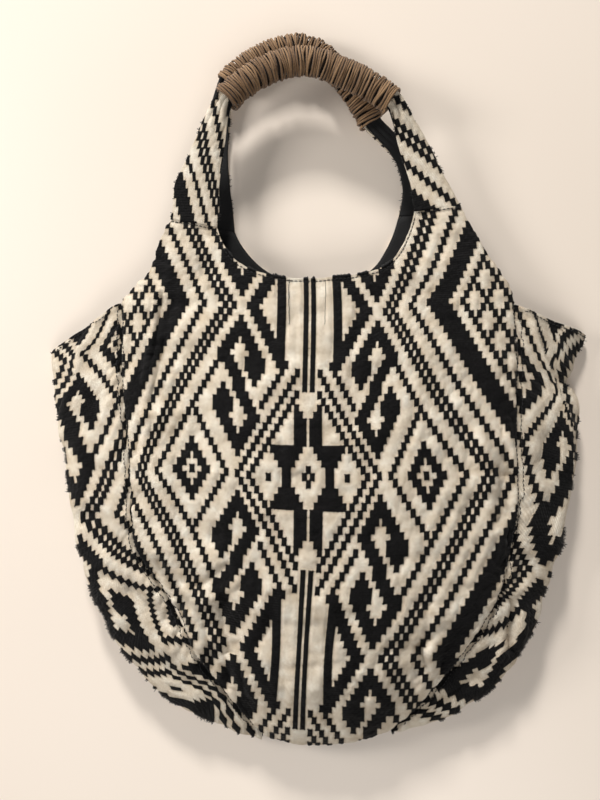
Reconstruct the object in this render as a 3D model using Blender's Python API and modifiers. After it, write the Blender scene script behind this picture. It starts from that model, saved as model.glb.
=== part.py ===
"""Slouchy tote in thick black and cream patterned cloth, lying on its back.

Metres, +Z up. +X is the viewer's right of the front panel, +Y runs from the
base to the handles and +Z is out of the front panel. The origin is the middle
of the underside of the bounding box.
"""

import bpy
import numpy as np

# Start from an empty scene

for obj in list(bpy.data.objects):
    bpy.data.objects.remove(obj, do_unlink=True)

# Driving dimensions, all in millimetres until the meshes are made

WIDTH = 494.0  # ear to ear
LENGTH = 647.0  # base to the top of the handles
CLOTH = 2.0  # patterned outer cloth
LINING = 0.8  # black cotton
PLY_GAP = 0.7  # between the cloth and its lining
SEAM_GAP = 0.8  # between two pieces that are sewn edge to edge
BASE_EASE = 0.55  # more room at the seams where they turn under the base
LINING_INSET = 1.7  # the lining stops this short of each seam
BULGE = 21.0  # how far the filled-out front rises above its seams
WRAP_R = 12.3  # outside of the twine wrapping
WRAP_DEPTH = 1.2  # groove between two turns of twine
TWINE_LAYER = 1.7  # from the outside of the wrapping to its bore
WRAP_BORE = WRAP_R - TWINE_LAYER
WRAP_SIDES = 6
CORE_CLEARANCE = 0.58  # between the rolled cloth and the flats of the bore
CORE_R = WRAP_BORE * float(np.cos(np.pi / WRAP_SIDES)) - CORE_CLEARANCE
LYING_Z = CLOTH + 1.0  # inner face of the outer cloth where it lies on the table
TURNS = 88
BACK_HANDLE_Z = WRAP_R + 1.1  # the back handle lies just above the table
HANDLE_GAP = 0.4
FRONT_HANDLE_Z = BACK_HANDLE_Z + 2 * WRAP_R + HANDLE_GAP
STRAP_END = 1.5 * CORE_R  # width of a strap where it is gathered into the wrapping
STRAP_TUCK = 5.0  # how far it reaches into the wrapping
SEWN_ROWS = 13  # rows of faces beside each gusset
FREE_ROWS = 4  # and between the ear and the strap
EAR = 10  # this many outline points lie on the seam up to the ear
CORE_SETBACK = 5.0  # the rolled core starts this far inside the wrapping
SHIFT = (0.0, 2.6, -1.0)  # puts the origin in the middle of the underside

# Outlines: (x, y, z) on the inner face of the outer cloth

LEFT_SEAM = [
    (-52, -316, 17), (-71, -290, 28), (-101, -238, 40), (-133, -187, 45),
    (-155, -142, 47), (-165, -99, 48), (-169, -47, 46), (-175, 6, 42),
    (-176, 50, 37), (-177, 75, 33), (-164, 89, 31), (-151, 103, 30),
    (-143, 129, 28), (-133, 150, 27),
]
RIGHT_SEAM = [
    (66, -311, 17), (90, -284, 29), (125, -236, 41), (152, -186, 46),
    (167, -142, 48), (174, -99, 48), (173, -47, 46), (174, -3, 43),
    (176, 37, 39), (173, 73, 35), (167, 91, 33), (154, 111, 31),
    (138, 138, 29), (126, 162, 28),
]
BASE_SEAM = [(-52, -316, 17), (-20, -323, 15), (8, -325, 14), (38, -320, 15),
             (66, -311, 17)]
MOUTH = [
    (-133, 150, 27), (-112, 146.5, 30), (-92, 143, 28), (-86, 128, 31),
    (-74, 112, 36), (-54, 101, 40), (-31, 96, 43), (-9, 95, 44),
    (13, 96, 43), (40, 100, 41), (60, 108, 38), (73, 125, 34),
    (81, 142, 31), (85, 157, 29), (105, 159.5, 31), (126, 162, 28),
]
LEFT_RIM = [
    (-52, -320, 13), (-95, -305, 17), (-144, -274, 21), (-182, -228, 23),
    (-207, -174, 24), (-220, -120, 24), (-228, -66, 23), (-235, -30, 20),
    (-241, 2, 14), (-245, 32, 9),
]
RIGHT_RIM = [
    (66, -315, 13), (110, -300, 17), (159, -268, 21), (188, -224, 23),
    (206, -174, 24), (220, -120, 24), (229, -66, 23), (234, -21, 20),
    (240, 18, 14), (245, 48, 9),
]
BACK_LEFT_SEAM = [
    (-52, -313, 8), (-78, -290, 4), (-112, -248, 3), (-148, -195, 3),
    (-172, -142, 3), (-182, -99, 3), (-186, -47, 3), (-186, 6, 3),
    (-182, 45, 3), (-178, 68, 3), (-166, 84, 3), (-153, 100, 3),
    (-143, 127, 3), (-134, 148, 3),
]
BACK_RIGHT_SEAM = [
    (66, -308, 8), (93, -284, 4), (130, -240, 3), (160, -190, 3),
    (178, -142, 3), (185, -99, 3), (187, -47, 3), (186, 0, 3),
    (182, 42, 3), (175, 68, 3), (166, 86, 3), (152, 108, 3),
    (137, 136, 3), (124, 160, 3),
]
BACK_BASE_SEAM = [(-52, -313, 8), (-20, -320, 8), (8, -322, 8), (38, -317, 8),
                  (66, -308, 8)]
BACK_MOUTH = [
    (-134, 148, 3), (-106, 146, 3), (-78, 144, 3), (-72, 132, 3),
    (-60, 117, 3), (-46, 106, 3), (-28, 98, 3), (-8, 95, 3),
    (14, 96, 3), (36, 101, 3), (52, 112, 3), (62, 127, 3),
    (69, 142, 3), (74, 158, 3), (99, 159, 3), (124, 160, 3),
]
FRONT_HANDLE = [
    (-83, 254), (-70, 266), (-52, 277.5), (-34, 285), (-15, 288), (2, 285),
    (19, 278), (39, 269), (56, 258), (64, 252),
]
BACK_HANDLE = [
    (-84, 276), (-72, 288), (-57, 298), (-36, 307), (-17, 310), (1, 303),
    (17, 289), (32, 271), (44, 252), (49, 241),
]
# Straps: outer edge then inner edge, from the panel up to the wrapping
STRAPS = {
    "front_strap_left": (
        [(-133, 150, 27), (-131, 162, 27), (-129, 182, 27), (-116, 209, 28),
         (-103, 237, 32)],
        [(-92, 143, 28), (-90, 158, 28), (-90, 180, 28), (-87, 203, 29),
         (-83, 226, 33)],
    ),
    "front_strap_right": (
        [(126, 162, 28), (113, 185, 28), (97, 216, 30), (83, 238, 33)],
        [(85, 157, 29), (82, 180, 28), (76, 199, 29), (69, 220, 32)],
    ),
    "back_strap_left": (
        [(-134, 148, 3), (-128, 180, 3), (-118, 209, 4), (-105, 240, 7)],
        [(-78, 144, 3), (-74, 165, 3), (-75, 190, 3), (-78, 220, 5)],
    ),
    "back_strap_right": (
        [(124, 160, 3), (112, 185, 3), (97, 208, 4), (78, 226, 7)],
        [(74, 158, 3), (75, 180, 3), (71, 199, 4), (62, 214, 7)],
    ),
}
# The outlines were measured on a bag of the first two sizes; any other is in proportion
MEASURED = (494.0, 647.0)
WIDE, LONG = WIDTH / MEASURED[0], LENGTH / MEASURED[1]
edges = [edge for pair in STRAPS.values() for edge in pair]
for line in (LEFT_SEAM, RIGHT_SEAM, BASE_SEAM, MOUTH, LEFT_RIM, RIGHT_RIM, BACK_LEFT_SEAM,
             BACK_RIGHT_SEAM, BACK_BASE_SEAM, BACK_MOUTH, FRONT_HANDLE, BACK_HANDLE, *edges):
    line[:] = [(x * WIDE, y * LONG, *z) for x, y, *z in line]

# Folds in the slack cloth of the front: (x0, y0, x1, y1, half width, height)
FOLDS = [
    (154, -10, 168, -140, 13, -4.0),
    (140, -30, 152, -150, 12, 3.0),
    (-150, -110, -95, -220, 14, -3.5),
    (-120, -90, -70, -215, 13, 3.0),
    (-108, 40, -100, -60, 12, -2.0),
    (90, -225, 135, -250, 14, 3.5),
    (-30, -262, 55, -285, 13, -3.0),
]

# Sheets as grids of points


def spline(points, count, start=0.0, end=1.0):
    """Evenly spaced points on a smooth curve through the given ones."""
    p = np.asarray(points, float)
    p = np.vstack([2 * p[0] - p[1], p, 2 * p[-1] - p[-2]])
    t = np.linspace(0, 1, 12, endpoint=False)[:, None]
    a, b, c, d = p[:-3], p[1:-2], p[2:-1], p[3:]
    fine = [
        0.5 * (2 * b[i] + (c[i] - a[i]) * t
               + (2 * a[i] - 5 * b[i] + 4 * c[i] - d[i]) * t**2
               + (3 * b[i] - a[i] - 3 * c[i] + d[i]) * t**3)
        for i in range(len(b))
    ]
    fine = np.vstack(fine + [p[-2][None]])
    length = np.concatenate([[0], np.cumsum(np.linalg.norm(np.diff(fine, axis=0), axis=1))])
    want = np.linspace(start, end, count) * length[-1]
    return np.stack([np.interp(want, length, fine[:, k]) for k in range(fine.shape[1])], 1)


def patch(left, right, base, top):
    """Loft between four boundary curves; rows run base to top."""
    n, m = len(left), len(base)
    v = np.linspace(0, 1, n)[:, None, None]
    u = np.linspace(0, 1, m)[None, :, None]
    sides = (1 - u) * left[:, None] + u * right[:, None]
    ends = (1 - v) * base[None] + v * top[None]
    corners = ((1 - u) * (1 - v) * base[0] + u * (1 - v) * base[-1]
               + (1 - u) * v * top[0] + u * v * top[-1])
    return sides + ends - corners


def inset(grid, by, more=0.0):
    """Moves the edges of a sheet inward along it, by more near the base."""
    g = grid.copy()
    by = by + more * np.clip(1.3 - np.arange(len(g)) / 4, 0, 1)[:, None]
    for axis in (0, 1):
        h = np.moveaxis(g, axis, 0)
        for edge, inner in ((0, 1), (-1, -2)):
            step = h[inner] - h[edge]
            size = np.linalg.norm(step, axis=-1, keepdims=True)
            far = by if axis else by[edge]
            h[edge] += step / np.maximum(size, 1e-9) * np.minimum(far, 0.45 * size)
    return g


def folds(x, y):
    """Sum of the long soft folds at each point."""
    total = np.zeros_like(x)
    for x0, y0, x1, y1, wide, high in FOLDS:
        along = np.array([x1 - x0, y1 - y0], float)
        t = ((x - x0) * along[0] + (y - y0) * along[1]) / along.dot(along)
        t = np.clip(t, 0, 1)
        d2 = (x - x0 - t * along[0]) ** 2 + (y - y0 - t * along[1]) ** 2
        total += high * np.exp(-d2 / (2 * wide**2))
    return total


def bulge(rows, columns, high):
    """Filled-out height over a panel, zero on its seams and at the mouth."""
    v = np.linspace(0, 1, rows)[:, None]
    u = np.linspace(0, 1, columns)[None]
    low = np.sqrt(np.clip(1 - (1 - np.minimum(v / 0.36, 1)) ** 2, 0, 1))
    up = 1 - np.clip((v - 0.45) / 0.55, 0, 1) ** 2
    return high * low * up * np.sin(np.pi * u) ** 0.62


def seam_line(points):
    """A side edge: the part sewn to the gusset, then the free edge up to the strap."""
    sewn = spline(points[:EAR], SEWN_ROWS + 1)
    free = spline(points[EAR - 1:], FREE_ROWS + 1)
    return np.vstack([sewn, free[1:]])


def mouth_line(points, columns):
    """Strap seam, the U of the mouth, strap seam, with corners between them."""
    short = columns // 8
    parts = [(points[:3], short), (points[2:-2], columns - 2 * short), (points[-3:], short)]
    line = [spline(points[:1] * 2, 1)]
    return np.vstack(line + [spline(part, count + 1)[1:] for part, count in parts])


def panel(left, right, base, top, columns, high, side):
    n, m = SEWN_ROWS + FREE_ROWS + 1, columns + 1
    grid = patch(seam_line(left), seam_line(right), spline(base, m), mouth_line(top, columns))
    lift = bulge(n, m, high)
    grid[..., 2] += side * lift
    if side > 0:
        hold = np.minimum(1, lift / 12)
        grid[..., 2] += folds(grid[..., 0], grid[..., 1]) * hold
    return grid


def gusset(front, rim, back, rows):
    """Leaf-shaped side band: from the front seam out over the rim to the back."""
    n = rows + 1
    a, r, b = spline(front, n), spline(rim, n), spline(back, n)
    t = np.array([0, 0.33, 0.66, 1.0])
    outward = (r - a) * np.array([1, 1, 0])
    drop = (a - r) * np.array([0, 0, 1])
    upper = bezier(a, a + 0.4 * outward - 0.3 * drop, r + 0.55 * (a - r) * [0, 0, 1], r, t)
    inward = (b - r) * np.array([1, 1, 0])
    lower = bezier(r, r + 0.6 * (b - r) * [0, 0, 1], b - 0.45 * inward, b, t)
    return np.concatenate([upper, lower[:, 1:]], axis=1)


def bezier(a, b, c, d, t):
    t = t[None, :, None]
    a, b, c, d = (q[:, None] for q in (a, b, c, d))
    return (1 - t) ** 3 * a + 3 * t * (1 - t) ** 2 * b + 3 * t**2 * (1 - t) * c + t**3 * d


# Objects


def material(name, colour, rough):
    m = bpy.data.materials.new(name)
    m.use_nodes = True
    shader = m.node_tree.nodes["Principled BSDF"]
    shader.inputs["Base Color"].default_value = (*colour, 1)
    shader.inputs["Roughness"].default_value = rough
    return m


def mesh_object(name, points, faces, look):
    mesh = bpy.data.meshes.new(name)
    at = (np.asarray(points, float) + SHIFT) / 1000
    mesh.from_pydata(at.tolist(), [], faces)
    mesh.update()
    mesh.materials.append(look)
    obj = bpy.data.objects.new(name, mesh)
    TOTE.objects.link(obj)
    return obj


def sheet(name, grid, thick, lift, look, flip=False):
    """A sheet of cloth: thick grows from the grid along its normal, after lift."""
    n, m = grid.shape[:2]
    index = np.arange(n * m).reshape(n, m)
    quads = np.stack([index[:-1, :-1], index[:-1, 1:], index[1:, 1:], index[1:, :-1]], -1)
    quads = quads.reshape(-1, 4)
    if flip:
        quads = quads[:, ::-1]
    obj = mesh_object(name, grid.reshape(-1, 3), quads.tolist(), look)
    if lift:
        move = obj.modifiers.new("Ply", "DISPLACE")
        move.direction = "NORMAL"
        move.mid_level = 0
        move.strength = lift / 1000
    solid = obj.modifiers.new("Thickness", "SOLIDIFY")
    solid.thickness = abs(thick) / 1000
    solid.offset = 1 if thick > 0 else -1
    return obj


def two_ply(name, lining_name, grid, look, flip=False, extra=0.0):
    """Patterned cloth outside and black cotton inside, sharing one surface."""
    grid[..., 2] = np.maximum(grid[..., 2], LYING_Z)
    sheet(name, inset(grid, SEAM_GAP / 2, extra), CLOTH, 0, look, flip)
    sheet(lining_name, inset(grid, LINING_INSET), -LINING, -PLY_GAP, COTTON, flip)


def rings(path, radii, sides):
    """One ring of points round each point of a path."""
    along = np.gradient(path, axis=0)
    along /= np.linalg.norm(along, axis=1, keepdims=True)
    up = np.array([0, 0, 1.0])
    across = np.cross(along, up)
    across /= np.linalg.norm(across, axis=1, keepdims=True)
    top = np.cross(across, along)
    a = 2 * np.pi * (np.arange(sides) + 0.5) / sides
    r = np.asarray(radii, float)[:, None, None]
    return path[:, None] + r * (np.cos(a)[None, :, None] * across[:, None]
                                + np.sin(a)[None, :, None] * top[:, None])


def tube_faces(count, sides, first, outward):
    faces = []
    for i in range(count - 1):
        for k in range(sides):
            a = first + i * sides + k
            b = first + i * sides + (k + 1) % sides
            quad = [a, b, b + sides, a + sides]
            faces.append(quad[::-1] if outward else quad)
    return faces


def wrapping(name, path_points, look):
    """Close turns of twine as one ridged sleeve round the core."""
    count = 2 * TURNS + 1
    path = spline(path_points, count)
    radii = np.where(np.arange(count) % 2, WRAP_R, WRAP_R - WRAP_DEPTH)
    outer = rings(path, radii, WRAP_SIDES)
    inner_count = 23
    inner = rings(path[:: (count - 1) // (inner_count - 1)], [WRAP_BORE] * inner_count,
                  WRAP_SIDES)
    points = np.vstack([outer.reshape(-1, 3), inner.reshape(-1, 3)])
    first = count * WRAP_SIDES
    faces = tube_faces(count, WRAP_SIDES, 0, True)
    faces += tube_faces(inner_count, WRAP_SIDES, first, False)
    for o, i, turn in ((0, first, False),
                       (first - WRAP_SIDES, first + (inner_count - 1) * WRAP_SIDES, True)):
        for k in range(WRAP_SIDES):
            n = (k + 1) % WRAP_SIDES
            quad = [o + k, o + n, i + n, i + k]
            faces.append(quad[::-1] if turn else quad)
    return mesh_object(name, points, faces, look)


def core(name, path_points, look):
    """The rolled strap cloth inside the wrapping."""
    length = np.linalg.norm(np.diff(spline(path_points, 60), axis=0), axis=1).sum()
    cut = CORE_SETBACK / length
    path = spline(path_points, 19, cut, 1 - cut)
    curve = bpy.data.curves.new(name, "CURVE")
    curve.dimensions = "3D"
    curve.bevel_depth = CORE_R / 1000
    curve.bevel_resolution = 2
    curve.use_fill_caps = True
    curve.twist_mode = "Z_UP"
    line = curve.splines.new("POLY")
    line.points.add(len(path) - 1)
    for point, at in zip(line.points, (path + SHIFT) / 1000):
        point.co = (*at, 1)
    curve.materials.append(look)
    obj = bpy.data.objects.new(name, curve)
    TOTE.objects.link(obj)
    return obj


def strap_end(path_points, at_start, tuck):
    """Centre and sideways direction of a strap's end inside the wrapping."""
    path = spline(path_points, 80)
    if not at_start:
        path = path[::-1]
    away = np.cumsum(np.linalg.norm(np.diff(path, axis=0), axis=1))
    i = int(np.searchsorted(away, tuck))
    along = path[i + 1] - path[i]
    along /= np.linalg.norm(along)
    return path[i], np.array([-along[1], along[0], 0]), along


def strap(name, path_points, at_start, flip):
    outer, inner = (np.array(edge, float) for edge in STRAPS[name])
    centre, side, along = strap_end(path_points, at_start, STRAP_TUCK)
    if np.dot(outer[-1] - inner[-1], side) < 0:
        side = -side
    ends = []
    for edge, sign in ((outer, 1), (inner, -1)):
        tip = centre + sign * side * STRAP_END / 2
        before = tip - along * (STRAP_TUCK + 4)
        ends.append(spline(np.vstack([edge, before, tip]), 9))
    across = np.linspace(0, 1, 4)[None, :, None]
    grid = (1 - across) * ends[0][:, None] + across * ends[1][:, None]
    curl = 4 * across[..., 0] * (1 - across[..., 0])
    if "front" in name:
        grid[..., 2] += np.interp(np.arange(9), [0, 6, 8], [2.5, 3, 0])[:, None] * curl
    two_ply(name, name.replace("strap", "strap_lining"), grid, CLOTH_LOOK, flip)


TOTE = bpy.data.collections.new("tote_bag")
bpy.context.scene.collection.children.link(TOTE)
CLOTH_LOOK = material("patterned cloth", (0.42, 0.39, 0.34), 0.9)
GUSSET_LOOK = material("patterned side cloth", (0.36, 0.33, 0.29), 0.9)
COTTON = material("black cotton", (0.012, 0.012, 0.013), 0.9)
TWINE = material("jute twine", (0.34, 0.22, 0.12), 0.85)
CORE_LOOK = material("rolled cloth", (0.3, 0.28, 0.25), 0.9)

front = panel(LEFT_SEAM, RIGHT_SEAM, BASE_SEAM, MOUTH, 16, BULGE, 1)
two_ply("front_panel", "front_lining", front, CLOTH_LOOK, extra=BASE_EASE)
back = panel(BACK_LEFT_SEAM, BACK_RIGHT_SEAM, BACK_BASE_SEAM, BACK_MOUTH, 8, 0, -1)
two_ply("back_panel", "back_lining", back, CLOTH_LOOK, True)

for side, seam, rim, back_seam, flip in (
    ("left", LEFT_SEAM, LEFT_RIM, BACK_LEFT_SEAM, True),
    ("right", RIGHT_SEAM, RIGHT_RIM, BACK_RIGHT_SEAM, False),
):
    band = gusset(seam[:EAR], rim, back_seam[:EAR], SEWN_ROWS)
    two_ply("gusset_" + side, "gusset_lining_" + side, band, GUSSET_LOOK, flip, BASE_EASE)

front_path = [(x, y, FRONT_HANDLE_Z) for x, y in FRONT_HANDLE]
back_path = [(x, y, BACK_HANDLE_Z) for x, y in BACK_HANDLE]
strap("front_strap_left", front_path, True, False)
strap("front_strap_right", front_path, False, True)
strap("back_strap_left", back_path, True, True)
strap("back_strap_right", back_path, False, False)
core("front_handle_core", front_path, CORE_LOOK)
core("back_handle_core", back_path, CORE_LOOK)
wrapping("front_handle_wrap", front_path, TWINE)
wrapping("back_handle_wrap", back_path, TWINE)
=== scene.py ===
# %% [markdown]
# # A slouchy patterned tote with jute-wrapped handles
# The bag lies on its back, as it was photographed from above. It is thick
# jacquard cloth in black and cream, sewn from a front, a back, two pointed side
# gussets and four straps, lined with black cotton, and its two handles are
# wound closely with jute twine. Every piece below is a surface worked out on a
# grid of points with numpy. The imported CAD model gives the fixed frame.

import bpy
import numpy as np
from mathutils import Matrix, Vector


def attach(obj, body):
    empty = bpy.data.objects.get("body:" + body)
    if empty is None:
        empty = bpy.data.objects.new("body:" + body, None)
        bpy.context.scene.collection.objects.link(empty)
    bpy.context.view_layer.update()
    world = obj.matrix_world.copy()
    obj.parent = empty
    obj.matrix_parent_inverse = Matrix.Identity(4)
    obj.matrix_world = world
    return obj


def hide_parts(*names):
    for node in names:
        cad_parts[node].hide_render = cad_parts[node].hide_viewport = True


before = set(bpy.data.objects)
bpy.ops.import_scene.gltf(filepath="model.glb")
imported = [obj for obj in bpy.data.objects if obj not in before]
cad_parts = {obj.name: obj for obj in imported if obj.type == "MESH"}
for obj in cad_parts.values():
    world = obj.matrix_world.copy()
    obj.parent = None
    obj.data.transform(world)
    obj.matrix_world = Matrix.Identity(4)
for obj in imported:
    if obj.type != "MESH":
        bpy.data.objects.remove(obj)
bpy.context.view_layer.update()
root = bpy.data.collections.new("tote")
bpy.context.scene.collection.children.link(root)

# %% [markdown]
# ## The camera and the way from the photograph to the bag
# The photograph looks straight down. One pixel on the table is 0.93 mm, and
# things nearer the camera look larger, so a pixel is turned into millimetres
# with the height of the point that it shows. Working in pixels for the pattern
# and in millimetres for the shape keeps both easy to measure.

# %% Camera
PIXEL = 0.93  # mm on the table
EYE = 750.0  # height of the camera, in mm
MIDDLE = 300, 400  # the middle of the picture, in pixels
SENSOR = 24.0
CENTRE = np.array([-17.5, -9.1])  # what the middle of the picture shows, in mm
SHIFT = np.array([0.0, 2.6, -1.0])  # from the outlines' own origin to the frame's
FLOOR = 1.05  # the lowest that a visible point may lie before SHIFT, just off the table
CELL_W, CELL_H = 3.75, 6.45  # one cell of the weave, in mm


def to_pixels(points):
    """Where the camera sees points given in mm: centre plus offset times EYE/(EYE-z)."""
    points = points + SHIFT
    near = EYE / (EYE - points[..., 2])
    x = MIDDLE[0] + (points[..., 0] - CENTRE[0]) * near / PIXEL
    y = MIDDLE[1] - (points[..., 1] - CENTRE[1]) * near / PIXEL
    return np.stack([x, y], -1)


def from_pixels(pixels, z):
    """The point at height z that the camera sees at a pixel, the inverse of to_pixels."""
    pixels = np.asarray(pixels, float)
    far = PIXEL * (1 - np.asarray(z, float) / EYE)
    x = CENTRE[0] + (pixels[..., 0] - MIDDLE[0]) * far
    y = CENTRE[1] + (MIDDLE[1] - pixels[..., 1]) * far
    return np.stack([x, y, np.broadcast_to(z, x.shape)], -1) - SHIFT * [1, 1, 0]


camera_data = bpy.data.cameras.new("camera")
camera_data.sensor_fit = "VERTICAL"
camera_data.sensor_height = SENSOR
camera_data.lens = SENSOR * EYE / (2 * MIDDLE[1] * PIXEL)
camera = bpy.data.objects.new("camera", camera_data)
camera.location = (CENTRE[0] / 1000, CENTRE[1] / 1000, EYE / 1000)
root.objects.link(camera)
bpy.context.scene.camera = camera
print("lens", round(camera_data.lens, 2), "mm")

# %% [markdown]
# ## Helpers for curves and sheets
# A seam is a smooth curve through a few measured points. A sheet of cloth is a
# patch stretched between four such curves, so neighbouring pieces share a seam
# exactly. Sheets could be drawn by hand as meshes, but a formula keeps them
# smooth and lets the folds be added as numbers.


# %% Curves and sheets
def run_of(path):
    """Distance in mm along a path, from 0 at its first point."""
    return np.concatenate([[0], np.cumsum(np.linalg.norm(np.diff(path, axis=0), axis=1))])


def unit(vectors):
    return vectors / np.linalg.norm(vectors, axis=-1, keepdims=True)


def spline(points, count):
    """Even points on a Catmull-Rom curve, a cubic through each given point."""
    p = np.asarray(points, float)
    p = np.vstack([2 * p[0] - p[1], p, 2 * p[-1] - p[-2]])
    t = np.linspace(0, 1, 24, endpoint=False)[None, :, None]
    a, b, c, d = (q[:, None] for q in (p[:-3], p[1:-2], p[2:-1], p[3:]))
    fine = 0.5 * (2 * b + (c - a) * t + (2 * a - 5 * b + 4 * c - d) * t**2
                  + (3 * b - a - 3 * c + d) * t**3)
    fine = np.vstack([fine.reshape(-1, p.shape[1]), p[-2]])
    run = run_of(fine)
    return np.stack([np.interp(np.linspace(0, 1, count) * run[-1], run, k) for k in fine.T], 1)


def patch(left, right, base, top):
    """Coons patch: side blend plus end blend minus the corners' blend."""
    v = np.linspace(0, 1, len(left))[:, None, None]
    u = np.linspace(0, 1, len(base))[None, :, None]
    sides = (1 - u) * left[:, None] + u * right[:, None]
    ends = (1 - v) * base[None] + v * top[None]
    corners = ((1 - u) * (1 - v) * base[0] + u * (1 - v) * base[-1]
               + (1 - u) * v * top[0] + u * v * top[-1])
    return sides + ends - corners


def normals(grid, flip=False):
    """Unit cross product of the two directions along a grid, turned round if flip."""
    n = np.cross(np.gradient(grid, axis=1), np.gradient(grid, axis=0)) * (-1 if flip else 1)
    return n / np.maximum(np.linalg.norm(n, axis=-1, keepdims=True), 1e-9)


def smooth_noise(x, y, size, seed):
    """Sum of 14 cosine waves about size long in seeded directions, about -1 to 1."""
    r = np.random.default_rng(seed)
    total = np.zeros(np.broadcast(x, y).shape)
    for angle, shift, scale in zip(r.uniform(0, np.pi, 14), r.uniform(0, 6.3, 14),
                                   r.uniform(0.6, 1.7, 14)):
        k = 2 * np.pi / (size * scale)
        total += np.cos(k * (np.cos(angle) * x + np.sin(angle) * y) + shift)
    return total / 4.5


def soft(x, low, high):
    """Smooth step from 0 at low to 1 at high."""
    t = np.clip((x - low) / (high - low), 0, 1)
    return t * t * (3 - 2 * t)


def rings(centre, radius, sides, side, up):
    """Points round a path: centre + radius * (cos a * side + sin a * up)."""
    angle = 2 * np.pi * np.arange(sides) / sides
    return centre[..., None, :] + radius[..., None] * (
        np.cos(angle)[:, None] * side[..., None, :] + np.sin(angle)[:, None] * up[..., None, :])


def keep_above(grid, height):
    """Lifts every point that lies lower than a height in mm up to it."""
    grid[..., 2] = np.maximum(grid[..., 2], height)


# %% Meshes from grids
def grid_faces(rows, columns, close=False, flip=False):
    """Quads of a grid, with the last column joined to the first if close."""
    index = np.arange(rows * columns).reshape(rows, columns)
    if close:
        index = np.hstack([index, index[:, :1]])
    quads = np.stack([index[:-1, :-1], index[:-1, 1:], index[1:, 1:], index[1:, :-1]], -1)
    quads = quads.reshape(-1, 4)
    return quads[:, ::-1] if flip else quads


def make_piece(name, mesh, material, node=None):
    """An object of a mesh; it rides on the bag and may replace a node."""
    mesh.materials.append(material)
    piece = bpy.data.objects.new(name, mesh)
    root.objects.link(piece)
    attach(piece, "root")
    if node:
        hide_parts(node)
    return piece


def make_mesh(name, points, quads, material, node=None):
    """A piece in metres from points in mm and an array of quads."""
    mesh = bpy.data.meshes.new(name)
    points = (points.reshape(-1, 3) + SHIFT) / 1000
    mesh.vertices.add(len(points))
    mesh.vertices.foreach_set("co", points.astype(np.float32).ravel())
    quads = np.asarray(quads, np.int32)
    mesh.loops.add(quads.size)
    mesh.loops.foreach_set("vertex_index", quads.ravel())
    mesh.polygons.add(len(quads))
    mesh.polygons.foreach_set("loop_start", np.arange(0, quads.size, 4, dtype=np.int32))
    mesh.polygons.foreach_set("use_smooth", np.ones(len(quads), bool))
    mesh.update(calc_edges=True)
    mesh.validate()
    return make_piece(name, mesh, material, node)


def add_field(piece, name, values):
    """Stores one number per point for a material to read."""
    field = piece.data.attributes.new(name, "FLOAT", "POINT")
    field.data.foreach_set("value", np.asarray(values, np.float32).ravel())


def add_weave(piece, cells):
    """Stores the weave's column and row as the piece's UV map."""
    layer = piece.data.uv_layers.new(name="weave")
    loops = np.empty(len(piece.data.loops), np.int32)
    piece.data.loops.foreach_get("vertex_index", loops)
    layer.data.foreach_set("uv", cells.reshape(-1, 2)[loops].astype(np.float32).ravel())


# %% [markdown]
# ## The pattern
# The cloth is woven on a grid of cells about 3.8 mm wide and 6.5 mm tall. The
# ornament is the common geometry of flat-woven rugs: stepped diamonds, hooks,
# check bands and zigzags, mirrored about a middle column and repeated every 48
# rows. It is written as rules on column and row numbers, which keeps every step
# of the weave true and can be laid on any piece of the bag.


# %% Which cells are black
def hook_cells(c, k):
    """The stepped hook, row by row; its lower half is the upper turned about its middle."""
    turned = k > 10
    c = np.where(turned, 36 - c, c)
    k = np.where(turned, 21 - k, k)
    spans = {1: [(18, 18)], 2: [(17, 19)], 3: [(16, 20)], 4: [(15, 17), (19, 21)],
             5: [(14, 16), (20, 22)], 6: [(13, 15), (21, 23)], 7: [(12, 16), (20, 22)],
             8: [(12, 16), (19, 21)], 9: [(13, 15), (18, 20)], 10: [(14, 14), (17, 19)]}
    found = np.zeros(np.broadcast(c, k).shape, bool)
    for row, pairs in spans.items():
        for low, high in pairs:
            found |= (k == row) & (c >= low) & (c <= high)
    return found


def black_cells(column, row):
    """True where the cloth shows black; each line is column plus or minus row = a number."""
    c = np.abs(column)
    r = np.abs(row)
    r = np.abs((r + 24) % 48 - 24)
    s = c + r
    black = (c == 1) & (r >= 13)
    black |= (c >= 1) & (c <= 3) & (r >= 5) & (r <= c + 7)
    black |= (np.abs(c - 5.5) <= np.maximum(r, 1) - 0.5) & (r <= 4)
    black |= ((c == 0) & (r == 1)) | ((c == 1) & (r == 0)) | ((c == 10) & (r == 0))
    black |= ((s == 15) | (s == 18)) & (c >= 3)
    black |= (s == 22) & (c >= 8) & (c <= 12)
    black |= ((c == 7) & (r >= 15)) | ((c == 8) & (r >= 16))
    black |= (c >= r - 10) & (c <= r - 8) & (r >= 16)
    black |= hook_cells(c, 23 - r)
    black |= (s == 39) & (c >= 23) & (c <= 30)
    d = np.abs(c - 30) + r
    black |= d == 9
    black |= (d <= 4) & ((d > 2) | (d == 0))
    black |= (s == 44) | (s == 46) | (s == 51) | ((s >= 56) & (s <= 60)) | (s == 64)
    q = 24 - r
    lattice = ((c - q) % 6 == 4) | ((c + q) % 6 == 4)
    black |= (s > 64) & lattice
    return black


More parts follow.
